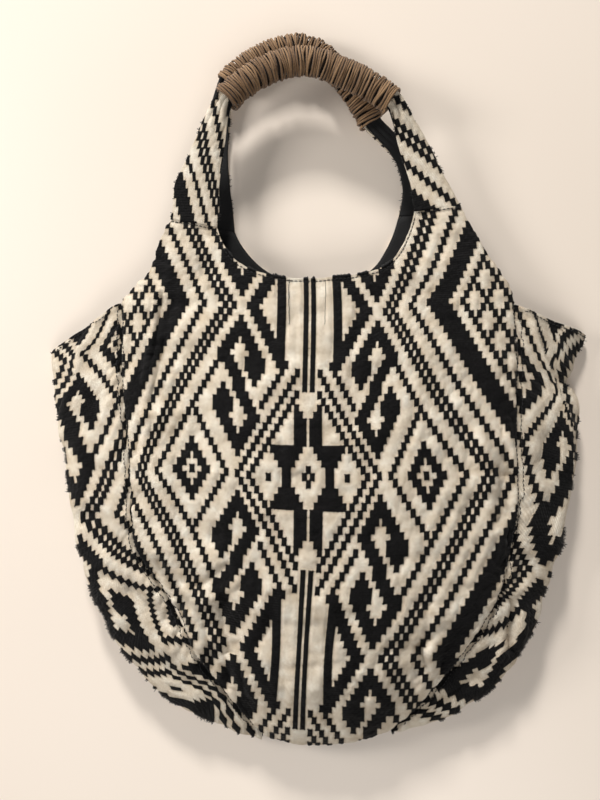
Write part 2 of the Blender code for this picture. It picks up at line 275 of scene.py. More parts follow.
def black_field(cells):
    """Distance in columns to the nearest edge of the black, above 0 on black, below on cream.

    The nine cells round each point are boxes. Black yarns spread over their neighbours, so a
    black box is 1.34 columns by 1.2 rows and a cream box is what is left.
    """
    c, r = cells[..., 0], cells[..., 1]
    ci, ri = np.rint(c).astype(int), np.rint(r).astype(int)
    to_black, to_cream = np.full(c.shape, 1.5), np.full(c.shape, 1.5)
    for dr in (-1, 0, 1):
        for dc in (-1, 0, 1):
            x, y = np.abs(c - ci - dc), np.abs(r - ri - dr)
            black = black_cells(ci + dc, ri + dr)
            near_black = np.maximum(np.maximum(x - 0.67, 1.7 * (y - 0.60)), 0)
            near_cream = np.maximum(np.maximum(x - 0.33, 1.7 * (y - 0.40)), 0)
            to_black = np.where(black, np.minimum(to_black, near_black), to_black)
            to_cream = np.where(black, to_cream, np.minimum(to_cream, near_cream))
    return to_cream - to_black


def relief(field):
    """Black yarns stand 0.7 mm proud; cream puffs up 0.8 mm between them, with a groove round it."""
    return 0.7 * soft(field, -0.12, 0.3) + 0.8 * soft(-field, 0.05, 1.0)


# %% [markdown]
# ## How the cloth lies
# A few dozen places where a known cell of the pattern lies at a known place on
# the bag fix the whole cloth. Between them the cells are spread by a thin-plate
# spline, the surface a thin steel sheet would take if it were pushed through
# the known points. It bends the pattern as the slack cloth is bent.


# %% Laying the pattern
def plate_fit(places, values, ease=0.002):
    """Weights of a thin-plate spline: sum of w * d^2 log d plus a flat part, slightly eased."""
    places = np.asarray(places, float) / 100
    values = np.asarray(values, float)
    d = np.linalg.norm(places[:, None] - places[None], axis=-1)
    k = np.where(d > 0, d**2 * np.log(np.maximum(d, 1e-9)), 0) + ease * np.eye(len(d))
    flat = np.hstack([np.ones((len(d), 1)), places])
    full = np.block([[k, flat], [flat.T, np.zeros((3, 3))]])
    return places, np.linalg.solve(full, np.vstack([values, np.zeros((3, values.shape[1]))]))


def plate(fit, at):
    """The spline's value at each pixel place."""
    places, weight = fit
    at = at / 100
    out = weight[-3] + at[..., :1] * weight[-2] + at[..., 1:] * weight[-1]
    for place, w in zip(places, weight):
        d2 = np.sum((at - place) ** 2, -1)
        out = out + (0.5 * d2 * np.log(np.maximum(d2, 1e-12)))[..., None] * w
    return out


# Each place: column and row of the weave, then where it is seen in the picture
FRONT_CLOTH = [
    (0, 0, 308.4, 477), (0, -28.9, 309.5, 277.5), (0, -12.5, 308.4, 391.8),
    (0, 12.5, 307, 571), (0, 37, 298.5, 738), (-16, -24, 249.3, 305.7),
    (16, -24, 369.7, 310.7), (-16, 24, 243.5, 647.3), (16, 24, 361, 658.8),
    (-20, -24, 234.3, 305), (20, -24, 385.5, 312), (-20, 24, 223, 640.6),
    (20, 24, 381.5, 659), (-30, 0, 192.3, 468.1), (30, 0, 426.3, 475.8),
    (-18, 0, 237.4, 473.3), (18, 0, 379.4, 476.2), (-10, 0, 268.4, 477),
    (10, 0, 347.2, 478.5), (-39, 0, 156.6, 470.5), (39, 0, 466.4, 474.3),
    (-30, -9, 192.4, 403.8), (30, -9, 420.5, 409.2), (-30, 9, 192.3, 529),
    (30, 9, 431, 543), (-45, 0, 140.6, 474.3), (45, 0, 491.3, 472.4),
    (-27, -24, 204, 303), (27, -24, 411, 306), (-32, -24, 186.9, 302),
    (32, -24, 429, 302), (40, -24, 463, 301), (-33.5, -36.5, 187.7, 222),
    (24, -28, 398, 284.5), (28, -32, 410, 256), (31, -35, 420, 231.5), (34, -38, 427, 208.5),
    (31, -28, 426.5, 278.5), (34, -31, 437.5, 257), (37, -34, 446.5, 233), (41, -38, 458, 206.5),
    (38, -30, 452, 261.5), (43, -35, 468, 224.5),
]


def lay(table):
    """A function from surface points to weave cells, by a spline through the table's places."""
    table = np.asarray(table, float)
    fit = plate_fit(table[:, 2:], table[:, :2])
    return lambda surface: plate(fit, to_pixels(surface))


front_lay = lay(FRONT_CLOTH)
print("front cloth fixed at", len(FRONT_CLOTH), "places")

# %% [markdown]
# ## Materials
# Jacquard has two faces in one cloth: a fine cream ground and thick black yarns
# that stand a little proud. One material reads the black share stored on each
# point, sharpens it to a clean edge, and turns it into colour, sheen and bump.
# The cream ground also shows the fine slanting lines of its twill, and the black
# shows its yarns as rows. Next to the black the cream gets painted shade, a
# darker tone that stands for the shadow of the raised black yarns.


# %% Node helpers
def linear(r, g, b):
    """A screen colour as the linear numbers that a shader takes."""
    return tuple(float(v / 12.92 if v <= 0.04045 else ((v + 0.055) / 1.055) ** 2.4)
                 for v in (r, g, b))


class Look:
    """A node tree with short ways to add nodes to it.

    Every input takes a number, a colour or the output of another node.
    """

    def __init__(self, tree):
        self.tree = tree
        self.place = self.add("TexCoord", {}).outputs["Object"]

    def join(self, socket, value):
        if isinstance(value, (int, float)):
            socket.default_value = value
        elif isinstance(value, tuple):
            socket.default_value = (*value, 1)
        else:
            self.tree.links.new(value, socket)

    def add(self, kind, inputs, **settings):
        """A node with its settings, and its inputs by name or number."""
        node = self.tree.nodes.new("ShaderNode" + kind)
        for name, value in settings.items():
            setattr(node, name, value)
        for key, value in inputs.items():
            self.join(node.inputs[key], value)
        return node

    def math(self, kind, *values):
        return self.add("Math", dict(enumerate(values)), operation=kind).outputs[0]

    def field(self, name):
        """One of the numbers that add_field stored on the points."""
        return self.add("Attribute", {}, attribute_name=name).outputs["Fac"]

    def noise(self, scale, detail=3.0, rough=0.55):
        return self.add("TexNoise", {"Vector": self.place, "Scale": scale, "Detail": detail,
                                     "Roughness": rough}).outputs["Fac"]

    def step(self, value, low, high, **settings):
        """0 at low, 1 at high and a ramp between."""
        return self.add("MapRange", {0: value, "From Min": low, "From Max": high},
                        **settings).outputs[0]

    def ramp(self, value, *stops):
        """A colour from pairs of position and colour."""
        node = self.add("ValToRGB", {0: value})
        elements = node.color_ramp.elements
        while len(elements) < len(stops):
            elements.new(0.5)
        for element, (at, colour) in zip(elements, stops):
            element.position = at
            element.color = (*colour, 1)
        return node.outputs[0]

    def mix(self, share, first, second):
        return self.add("Mix", {"Factor": share, 6: first, 7: second}, data_type="RGBA").outputs[2]

    def bump(self, height, strength, distance):
        return self.add("Bump", {"Height": height, "Strength": strength,
                                 "Distance": distance}).outputs[0]

    def surface(self, inputs):
        """Sets inputs of the material's own shader."""
        for key, value in inputs.items():
            self.join(self.tree.nodes["Principled BSDF"].inputs[key], value)

    def for_camera(self, share, seen, other):
        """Shows the camera one shader by a share, and everything else the other."""
        direct = self.add("LightPath", {}).outputs["Is Camera Ray"]
        factor = self.math("MULTIPLY", direct, share)
        choose = self.add("MixShader", {0: factor, 1: other.outputs[0], 2: seen.outputs[0]})
        output = next(node for node in self.tree.nodes if node.type.startswith("OUTPUT"))
        self.join(output.inputs["Surface"], choose.outputs[0])


def new_material(name):
    material = bpy.data.materials.new(name)
    material.use_nodes = True
    return material, Look(material.node_tree)


# %% Jacquard
jacquard, look = new_material("jacquard")
stored = look.field("black")
weave = look.add("UVMap", {}, uv_map="weave").outputs[0]
weave = look.add("SeparateXYZ", {0: weave})
column, row = weave.outputs[0], weave.outputs[1]
ragged = look.math("MULTIPLY_ADD", look.noise(1100, 2), 0.34, -0.17)
black_mask = look.step(look.math("ADD", stored, ragged), -0.07, 0.07)
TWILL = 12.57, 21.4  # the slanting lines' turn in radians for each column and each row
FLOATS = 18.85  # the black yarns' turn for each row: three yarns
slant = look.math("MULTIPLY_ADD", column, TWILL[0], look.math("MULTIPLY", row, TWILL[1]))
twill = look.math("SINE", slant)
floats = look.math("SINE", look.math("MULTIPLY", row, FLOATS))
mottle = look.noise(75, 5, 0.6)
grain = look.step(look.noise(850, 3, 0.65), 0.36, 0.64)
cream = look.ramp(mottle, (0.32, linear(0.84, 0.785, 0.70)), (0.52, linear(0.93, 0.89, 0.82)),
                  (0.68, linear(0.985, 0.965, 0.91)))
# Painted shade: the cream darkens within about half a column of the black, standing for the shadow
# that the raised black yarns cast on it.
near_black = look.math("MULTIPLY", look.step(stored, -0.55, -0.05), 0.35)
cream = look.mix(near_black, cream, linear(0.62, 0.53, 0.41))
cream = look.mix(look.math("MULTIPLY", grain, 0.42), cream, linear(0.69, 0.61, 0.50))
cream = look.mix(look.math("MULTIPLY_ADD", twill, 0.12, 0.12), cream, linear(0.60, 0.52, 0.42))
ink = look.ramp(grain, (0.3, linear(0.018, 0.017, 0.018)), (0.75, linear(0.075, 0.07, 0.07)))
height = look.math("MULTIPLY", black_mask, 0.5)
for wave, high in ((twill, 0.22), (look.math("MULTIPLY", floats, black_mask), 0.25),
                   (grain, -0.30), (mottle, 0.8)):
    height = look.math("MULTIPLY_ADD", wave, high, height)
look.surface({"Base Color": look.mix(black_mask, cream, ink), "Roughness": 0.88,
              "Sheen Weight": 0.05, "Sheen Roughness": 0.5, "Specular IOR Level": 0.15,
              "Normal": look.bump(height, 0.8, 0.0007)})

# %% Black cotton, thread and jute
cotton, look = new_material("black cotton")
fine = look.noise(1600, 2)
height = look.math("MULTIPLY_ADD", look.noise(70, 4), 4.0, fine)
look.surface({
    "Base Color": look.ramp(fine, (0.3, linear(0.025, 0.025, 0.028)),
                            (0.75, linear(0.085, 0.083, 0.088))),
    "Roughness": 0.9, "Sheen Weight": 0.08, "Normal": look.bump(height, 0.6, 0.0006)})

thread, look = new_material("black thread")
look.surface({
    "Base Color": look.ramp(look.noise(3000, 2), (0.3, linear(0.03, 0.03, 0.033)),
                            (0.8, linear(0.08, 0.08, 0.085))),
    "Roughness": 0.7})

jute, look = new_material("jute twine")
fibre = look.noise(1500, 4)
tone = look.math("MULTIPLY_ADD", look.field("tone"), 0.22, 0.1)
tone = look.math("MULTIPLY_ADD", fibre, 0.5, tone)
tone = look.math("MULTIPLY_ADD", look.noise(120, 3), 0.25, tone)
straw = look.ramp(tone, (0.25, linear(0.28, 0.19, 0.115)), (0.5, linear(0.46, 0.34, 0.22)),
                  (0.78, linear(0.70, 0.555, 0.395)))
# Painted shade: each turn of twine darkens on its flanks, where it presses against the next turn.
shade = look.math("MULTIPLY", look.field("painted_flank_shade"), 0.85)
look.surface({"Base Color": look.mix(shade, straw, linear(0.20, 0.145, 0.10)),
              "Roughness": 0.8, "Sheen Weight": 0.15, "Normal": look.bump(fibre, 0.8, 0.0005)})
print("materials made")

# %% [markdown]
# ## Outlines
# These are the seams and free edges of the bag, in millimetres on the inner
# face of the outer cloth, the same as the CAD model's, so that each piece lies
# where its solid lies.

# %% Outline points
LEFT_SEAM = [
    (-52, -316, 17), (-71, -290, 28), (-108, -238, 40), (-132, -187, 45),
    (-161, -142, 47), (-166, -99, 48), (-169, -47, 46), (-175, 6, 42),
    (-176, 50, 37), (-177, 75, 33), (-164, 89, 31), (-151, 103, 30),
    (-143, 129, 28), (-133, 150, 27),
]
RIGHT_SEAM = [
    (66, -311, 17), (90, -284, 29), (125, -236, 41), (156, -186, 46),
    (167, -142, 48), (174, -99, 48), (173, -47, 46), (174, -3, 43),
    (176, 37, 39), (173, 73, 35), (167, 91, 33), (154, 111, 31),
    (138, 138, 29), (126, 162, 28),
]
BASE_SEAM = [(-52, -316, 17), (-20, -323, 15), (8, -325, 14), (38, -320, 15),
             (66, -311, 17)]
MOUTH = [
    (-133, 150, 27), (-112, 146.5, 30), (-92, 143, 28), (-86, 128, 31),
    (-74, 112, 36), (-54, 101, 40), (-31, 96, 43), (-9, 95, 44),
    (13, 96, 43), (40, 100, 41), (60, 108, 38), (73, 125, 34),
    (81, 142, 31), (85, 157, 29), (105, 159.5, 31), (126, 162, 28),
]
LEFT_RIM = [
    (-52, -320, 13), (-95, -305, 17), (-144, -274, 21), (-182, -228, 23),
    (-207, -174, 24), (-220, -120, 24), (-228, -66, 23), (-235, -30, 20),
    (-241, 2, 14), (-245, 32, 9),
]
RIGHT_RIM = [
    (66, -315, 13), (110, -300, 17), (159, -268, 21), (188, -224, 23),
    (206, -174, 24), (220, -120, 24), (229, -66, 23), (234, -27, 20),
    (232, -6, 17), (224, 2, 15), (231, 20, 12), (245, 48, 9),
]
BACK_LEFT_SEAM = [
    (-52, -313, 8), (-78, -290, 4), (-112, -248, 3), (-148, -195, 3),
    (-172, -142, 3), (-182, -99, 3), (-186, -47, 3), (-186, 6, 3),
    (-182, 45, 3), (-178, 68, 3), (-166, 84, 3), (-153, 100, 3),
    (-143, 127, 3), (-134, 148, 3),
]
BACK_RIGHT_SEAM = [
    (66, -308, 8), (93, -284, 4), (130, -240, 3), (160, -190, 3),
    (178, -142, 3), (185, -99, 3), (187, -47, 3), (186, 0, 3),
    (182, 42, 3), (175, 68, 3), (166, 86, 3), (152, 108, 3),
    (137, 136, 3), (124, 160, 3),
]
BACK_BASE_SEAM = [(-52, -313, 8), (-20, -320, 8), (8, -322, 8), (38, -317, 8),
                  (66, -308, 8)]
BACK_MOUTH = [
    (-134, 148, 3), (-106, 146, 3), (-78, 144, 3), (-72, 132, 3),
    (-60, 117, 3), (-46, 106, 3), (-28, 98, 3), (-8, 95, 3),
    (14, 96, 3), (36, 101, 3), (52, 112, 3), (62, 127, 3),
    (69, 142, 3), (74, 158, 3), (99, 159, 3), (124, 160, 3),
]
FRONT_HANDLE = [(x, y, 38.4) for x, y in (
    (-83, 254), (-70, 266), (-52, 277.5), (-34, 285), (-15, 288), (2, 285), (19, 278),
    (39, 269), (56, 258), (64, 252))]
BACK_HANDLE = [(x, y, 13.4) for x, y in (
    (-84, 276), (-72, 288), (-57, 298), (-36, 307), (-17, 310), (1, 303), (17, 289),
    (32, 271), (44, 252), (49, 241))]
CLOTH = 2.0  # the cloth's thickness
BULGE = 21.0  # how far the middle of the front stands above its seams
EAR = 10  # how many of a side seam's points, from the base, are sewn to the gusset

# %% [markdown]
# ## The front
# The front is slack and full: it rises from its seams like a pillow, dips in a
# narrow valley along each seam where the stitches pull it in, puckers across
# the seams, and carries some seventy soft folds. All of that is added to the
# height of one fine grid, about 1.2 mm from point to point.

# %% Front panel surface
# Each fold: from and to in the picture, then its width and height in mm
FOLDS = [
    (489, 436, 503, 475, 5, -3.2), (503, 475, 495, 517, 5, -3.4), (495, 517, 501, 560, 5, -2.8),
    (478, 440, 490, 515, 7, 2.4), (157, 290, 150, 352, 1.6, 1.5), (161, 292, 154, 356, 1.5, -1.6),
    (150, 352, 142, 420, 1.6, 1.5), (146, 385, 138, 455, 1.6, -1.6), (158, 350, 146, 420, 2, 1.6),
    (164, 340, 149, 410, 1.8, -1.5), (172, 380, 158, 440, 3, 1.2), (150, 415, 143, 480, 2, 1.5),
    (520, 300, 527, 352, 1.8, 1.4), (513, 300, 519, 356, 1.8, -1.4), (505, 420, 512, 470, 2, 1.6),
    (500, 430, 507, 480, 1.8, -1.8), (511, 360, 515, 420, 1.8, 1.4), (504, 520, 497, 560, 2, 1.6),
    (104, 512, 141, 497, 4, -2.2), (113, 530, 136, 508, 5, 1.9),
    (150, 560, 184, 640, 5, -2.2), (200, 600, 197, 650, 8, 2.6), (181, 600, 184, 635, 4, -2.4),
    (222, 590, 232, 650, 5, -2.2), (240, 620, 226, 690, 5, -2.2), (212, 650, 250, 720, 5, -2.2),
    (262, 600, 240, 655, 6, 1.7), (418, 640, 420, 672, 4, -2.4), (429, 650, 427, 690, 5, 1.8),
    (440, 662, 434, 700, 3, -2.2), (425, 600, 424, 640, 4, -1.9), (437, 596, 440, 640, 6, 1.4),
    (405, 640, 396, 700, 6, -1.7), (505, 560, 514, 600, 5, -2.6), (285, 640, 282, 720, 4, -1.4),
    (295, 650, 291, 720, 4, 1.1), (330, 640, 333, 720, 5, -1.2), (170, 300, 163, 360, 5, -1.7),
    (215, 360, 196, 440, 7, -1.4), (250, 430, 268, 500, 8, 1.2), (345, 400, 372, 470, 8, -1.1),
    (455, 320, 480, 410, 7, -1.4), (470, 300, 500, 390, 7, 1.4), (405, 330, 425, 420, 8, 1.1),
    (190, 470, 205, 540, 7, -1.3), (370, 560, 400, 620, 7, 1.2), (160, 480, 176, 545, 6, 1.6),
    (230, 545, 262, 560, 6, -1.2), (455, 545, 480, 600, 6, 1.3), (395, 500, 420, 530, 7, -1.0),
    (160, 558, 186, 600, 3.5, -3.6), (186, 590, 218, 591, 4.5, 2.4), (196, 586, 230, 560, 3, -2.2),
    (205, 600, 240, 575, 3, 1.8), (179, 605, 188, 640, 2.5, -2.8), (188, 612, 196, 655, 4, 2.6),
    (206, 625, 214, 680, 3, -2.0), (222, 600, 226, 650, 3, -1.8), (215, 655, 232, 705, 3, 1.6),
    (238, 640, 246, 700, 2.5, -1.6), (418, 640, 424, 664, 2.5, -3.0), (426, 640, 434, 668, 4, 1.8),
    (428, 636, 442, 620, 3, -1.8), (505, 535, 511, 566, 2.5, -3.4), (497, 530, 503, 560, 4, 2.6),
    (500, 485, 506, 530, 3, -2.6), (262, 300, 258, 350, 3, -1.0), (330, 590, 336, 650, 3, 1.1),
    (286, 400, 292, 470, 3, 0.9), (355, 330, 350, 390, 3, -1.0), (210, 500, 230, 520, 4, 1.2),
]
SIDE_FOLDS = [
    (512, 480, 508, 540, 4, 2.2), (519, 500, 514, 560, 3, -2.2), (524, 560, 512, 640, 4, -2.6),
    (516, 590, 500, 660, 4, 1.8), (92, 500, 128, 520, 5, 1.8), (86, 520, 122, 548, 4, -1.8),
    (108, 560, 156, 596, 6, 1.8), (130, 590, 165, 622, 5, -2.4), (120, 620, 170, 650, 6, 1.5),
    (540, 440, 552, 500, 7, -1.4), (90, 400, 100, 470, 7, -1.3), (80, 440, 84, 500, 7, 1.2),
    (513, 600, 514, 655, 2.5, -3.6), (520, 590, 522, 650, 4, 2.6), (480, 680, 440, 712, 4, -1.8),
    (150, 660, 200, 694, 4, -1.5), (530, 400, 540, 450, 6, 1.3),
]
DEEP = 1.5  # every fold's height is taken this many times
FOLD_Z = 45  # the height in mm at which the folds' places were measured


def ridges(x, y, table):
    """Sum of DEEP * height * exp(-distance^2 / 2 width^2) round lines in the picture's pixels."""
    total = np.zeros_like(x)
    for *line, wide, high in table:
        (x0, y0, _), (x1, y1, _) = from_pixels(np.reshape(line, (2, 2)), FOLD_Z)
        along = np.array([x1 - x0, y1 - y0], float)
        t = ((x - x0) * along[0] + (y - y0) * along[1]) / along.dot(along)
        over = np.maximum(np.abs(t - 0.5) - 0.5, 0) * np.linalg.norm(along)
        t = np.clip(t, 0, 1)
        d2 = (x - x0 - t * along[0]) ** 2 + (y - y0 - t * along[1]) ** 2
        total += DEEP * high * np.exp(-(d2 + over**2) / (2 * wide**2))
    return total


def seam_line(points, rows):
    """A side edge; its part beside the gusset takes 13 rows in 17."""
    sewn = round(rows * 13 / 17)
    return np.vstack([spline(points[:EAR], sewn + 1),
                      spline(points[EAR - 1:], rows - sewn + 1)[1:]])


def mouth_line(points, columns):
    """Strap seam, the U of the mouth and the other strap seam, with corners between."""
    short = columns // 8
    return np.vstack([spline(points[:3], short + 1),
                      spline(points[2:-2], columns - 2 * short + 1)[1:],
                      spline(points[-3:], short + 1)[1:]])


def side_distance(grid):
    """Distance in mm along each row from its first point and from its last."""
    step = np.linalg.norm(np.diff(grid, axis=1), axis=-1)
    run = np.concatenate([np.zeros((len(grid), 1)), np.cumsum(step, axis=1)], axis=1)
    return run, run[:, -1:] - run


def pucker(distance, along, seed, reach=9.0, high=0.9):
    """Small cross folds that fade from a seam: exp(-distance/reach) * wave(along)."""
    lean = along + 0.35 * distance
    wave = np.sin(lean / 1.9 + 1.9 * np.sin(along / 19 + seed)) * (
        0.6 + 0.4 * np.sin(along / 37 + 2 * seed))
    wave = wave + 0.7 * np.sin(lean / 3.7 + 2.5 * np.sin(along / 31 + 3 * seed))
    return high * np.exp(-distance / reach) * (1 - np.exp(-distance / 2.0)) * wave


def seam_valley(distance):
    """How far a seam pulls the cloth in: 3.4 mm * exp(-(distance / 3)^2)."""
    return 3.4 * np.exp(-(distance / 3.0) ** 2)


ROWS, COLUMNS = 442, 320
BASE_RISE = 0.36  # the share of the front, from the base, over which it rises
MOUTH_FALL = 0.45  # the share from which it sinks again towards the mouth
SEWN = 0.755, 0.78  # the shares between which the gussets' seams end
PLEATS = 289.0, 326.0  # the two stitched pleats of the mouth, in the picture
PLEAT_END = 325.0  # and where they end
PLEAT_DEPTH, HEM_DEPTH = 1.4, 0.7
HEM = 3.0  # from the mouth's edge to the row of stitches that presses a groove
front = patch(seam_line(LEFT_SEAM, ROWS), seam_line(RIGHT_SEAM, ROWS),
              spline(BASE_SEAM, COLUMNS + 1), mouth_line(MOUTH, COLUMNS))
v = np.linspace(0, 1, ROWS + 1)[:, None]
u = np.linspace(0, 1, COLUMNS + 1)[None]
low = np.sqrt(np.clip(1 - (1 - np.minimum(v / BASE_RISE, 1)) ** 2, 0, 1))
up = 1 - np.clip((v - MOUTH_FALL) / (1 - MOUTH_FALL), 0, 1) ** 2
front[..., 2] += BULGE * low * up * np.sin(np.pi * u) ** 0.62
front_left, front_right = side_distance(front)
near_side = np.minimum(front_left, front_right)
x, y = front[..., 0], front[..., 1]
front[..., 2] += ridges(x, y, FOLDS) * soft(near_side, 0, 10)
# The cloth's slack: waves about 46, 15 and 8 mm long
front[..., 2] += smooth_noise(x, y, 46, 3) * 1.6 * soft(near_side, 2, 30)
front[..., 2] += smooth_noise(x, y, 15, 4) * 0.60
front[..., 2] += smooth_noise(x, y / 1.6, 8, 6) * 0.30
for distance, column, seed in ((front_left, 0, 1), (front_right, -1, 2)):
    front[..., 2] += pucker(distance, run_of(front[:, column])[:, None], seed, high=1.3)
valley = seam_valley(near_side) * (1 - soft(v, *SEWN))
seen = to_pixels(front)
between = soft(seen[..., 0], PLEATS[0] - 0.8, PLEATS[0] + 0.8) * soft(
    -seen[..., 0], -PLEATS[1] - 0.8, -PLEATS[1] + 0.8)
valley = valley + PLEAT_DEPTH * between * (1 - soft(seen[..., 1], PLEAT_END - 7, PLEAT_END + 3))
from_mouth = run_of(front[::-1, COLUMNS // 2])[::-1, None]
valley = valley + HEM_DEPTH * np.exp(-((from_mouth - HEM) / 1.3) ** 2)
print("front grid", front.shape, "top of the front", round(front[..., 2].max(), 1), "mm")


# %% Front panel piece
GROUND = CLOTH - 0.8  # the weave's ground above the outlines; the pattern rises from it
EDGE_TURN = 1.8  # how far the edge of a sheet is turned in


def with_edge(grid, under):
    """One more ring of points round a grid, taken from the grid that lies under it."""
    wide = np.pad(grid, ((1, 1), (1, 1), (0, 0)), mode="edge")
    low = np.pad(under, ((1, 1), (1, 1), (0, 0)), mode="edge")
    wide[[0, -1]], wide[:, [0, -1]] = low[[0, -1]], low[:, [0, -1]]
    return wide


def cloth_piece(name, grid, fit, node, flip=False, down=None, parts=1):
    """A sheet of jacquard: moved out by its thickness, patterned, raised, its edge turned in.

    A fine sheet is made in parts side by side, which share the normals of the whole.
    """
    out = normals(grid, flip)
    surface = grid + out * GROUND
    if down is not None:
        surface = surface - out * down[..., None]
    cells = fit(surface)
    field = black_field(cells)
    lumps = smooth_noise(cells[..., 0] * CELL_W, cells[..., 1] * CELL_H, 4.5, 77) * 0.35
    surface = surface + out * (relief(field) + lumps * soft(field, -0.1, 0.4))[..., None]
    keep_above(surface, FLOOR)
    wide = with_edge(surface, surface - out * EDGE_TURN)
    keep_above(wide, FLOOR)
    facing = normals(wide, flip)
    wide_cells = np.pad(cells, ((1, 1), (1, 1), (0, 0)), mode="edge")
    edges = np.linspace(0, wide.shape[1] - 1, parts + 1).astype(int)
    for k in range(parts):
        part = slice(edges[k], edges[k + 1] + 1)
        quads = grid_faces(len(wide), part.stop - part.start, flip=flip)
        piece = make_mesh(name if parts == 1 else f"{name}_{k + 1}", wide[:, part], quads,
                          jacquard, node)
        add_field(piece, "black", np.pad(field, 1, mode="edge")[:, part])
        add_weave(piece, wide_cells[:, part])
        if parts > 1:
            piece.data.normals_split_custom_set_from_vertices(facing[:, part].reshape(-1, 3))
    return surface, out, field


front_sheet = cloth_piece("front_cloth", front, front_lay, "front_panel", down=valley, parts=2)
front_surface, front_out, front_field = front_sheet
print("front cloth", front_surface.shape)

# %% [markdown]
# ## Gussets
# Each side gusset is a leaf of the same cloth, folded round the rim of the bag.
# It runs from the front seam out over the rim and back underneath, and its top
# ends in a hemmed ear that lies flat and pointed.


# %% Gusset surfaces
def bezier(a, b, c, d, t):
    """Cubic between a and d, drawn towards b and c."""
    t = t[None, :, None]
    a, b, c, d = (q[:, None] for q in (a, b, c, d))
    return (1 - t) ** 3 * a + 3 * t * (1 - t) ** 2 * b + 3 * t**2 * (1 - t) * c + t**3 * d


LYING = CLOTH + 1.0  # height of the cloth's inner face where it lies on the table
GUSSET_ROWS, GUSSET_COLUMNS = 400, 62  # the columns of one half, from seam to rim
EAR_ROWS = 0.66  # the share of a gusset's rows that lies below its ear


def gusset(front_seam, rim, back_seam):
    """Rows across the leaf: a cubic from seam to rim, then one from rim to back seam."""
    a, r, b = (spline(line, GUSSET_ROWS + 1) for line in (front_seam, rim, back_seam))
    t = np.linspace(0, 1, GUSSET_COLUMNS + 1)
    flat, rise = np.array([1, 1, 0]), np.array([0, 0, 1])
    outward, drop, inward = (r - a) * flat, (a - r) * rise, (b - r) * flat
    upper = bezier(a, a + 0.4 * outward - 0.3 * drop, r + 0.55 * drop, r, t)
    lower = bezier(r, r + 0.6 * (b - r) * rise, b - 0.45 * inward, b, t)
    band = np.concatenate([upper, lower[:, 1:]], axis=1)
    keep_above(band, LYING)
    return band


def dress_gusset(band, seed, flip):
    """Puckers along the front seam, soft waves, and the valley at the seam."""
    out = normals(band, flip)
    from_front, _ = side_distance(band)
    wave = pucker(from_front, run_of(band[:, 0])[:, None], seed, reach=11, high=1.4)
    wave = wave + smooth_noise(band[..., 0], band[..., 1], 38, seed) * 1.5 * soft(from_front, 2, 25)
    wave = wave + ridges(band[..., 0], band[..., 1], SIDE_FOLDS) * soft(out[..., 2], 0.05, 0.4)
    wave = wave * soft(band[..., 2], 4, 12)
    return band + out * wave[..., None], seam_valley(from_front)


EAR_FOLDS = {
    "left": [(100, 316), (93.6, 324), (86, 334), (78, 350), (75, 366), (70, 381), (66, 395),
             (61, 412), (52, 432)],
    "right": [(517, 292), (524, 304), (534, 319), (540.6, 342), (549, 366), (559, 390),
              (566, 405), (573, 425)],
}


def behind_fold(surface, side):
    """How far, in pixels, each point lies outwards of the ear's fold line."""
    line = spline(EAR_FOLDS[side], 60)
    seen = to_pixels(surface)
    at = np.interp(seen[..., 1], line[:, 1], line[:, 0])
    return (at - seen[..., 0]) if side == "left" else (seen[..., 0] - at)


LEFT_CLOTH = [
    (30, 0, 115.4, 343), (30, 4, 118, 368.5), (30, 9, 118.6, 400), (21, 0, 81.5, 353),
    (18, 3, 79, 377), (24, 9.5, 97, 406), (22, 12, 92, 425), (17, 11, 68.5, 420),
    (18, 12.5, 71, 431), (24, 15, 96, 449), (18, 22, 78, 501), (20, 24, 82.5, 516),
    (22, 24, 92, 515), (30, 14, 121, 434), (27, 24, 117.5, 514), (32, 19, 128, 483),
    (25, 29, 110, 549), (18, 26, 81, 540), (24, 33, 105, 570), (30, 39, 150, 589),
    (21, 48, 163.5, 639.5), (22, 36, 113, 593), (18, 45, 152, 647), (13.5, 40, 111, 634),
    (18, 48, 168, 658), (15, 48, 168, 672), (5.5, 48, 186, 703), (12, 54, 222, 696),
    (9, 54, 223, 719), (18, 51, 186, 668), (18, 0, 73.5, 356), (15, 0, 65, 361),
    (18, -3, 80, 343), (13, -5, 57, 340), (30, -9, 113, 300),
]
RIGHT_CLOTH = [
    (30, 0, 521.6, 377), (26, 0, 540, 376), (30, 4, 522, 410), (30, -4, 518, 343),
    (21, 0, 557, 391), (30, 9, 522.5, 443), (30, -9, 516, 308), (24, 15, 540, 496),
    (18, 3, 561, 415), (24, 9.5, 545, 450), (22, 12, 548, 474), (18, 12.5, 566, 480),
    (18, 22, 543, 562), (20, 24, 528, 568), (22, 24, 520, 568), (24, 33, 518, 610),
    (30, 39, 480, 634), (22, 36, 497, 648), (18, 45, 436, 683), (13.5, 40, 486, 695),
    (18, 48, 427, 700), (14, 44, 455, 711), (15, 48, 418, 711), (12, 45, 443, 720),
    (25.5, 20, 509, 545), (27.5, 15.5, 513, 508), (24.5, 26, 507, 582),
    (18, -3, 555, 366), (10, -8, 583, 330), (8, -7, 587, 342), (15, 0, 566, 388),
]
RIGHT_FLAP_CLOTH = [
    (10, -8, 579.5, 328.6), (17, -1, 551, 362), (8, -7, 585.5, 341.7), (14.5, -0.5, 563, 374),
    (18, -3.5, 553, 331), (25, -4, 541, 335), (28, -7, 536.5, 321), (22, -1.5, 547, 349),
]
gussets, inner_bands = {}, {}
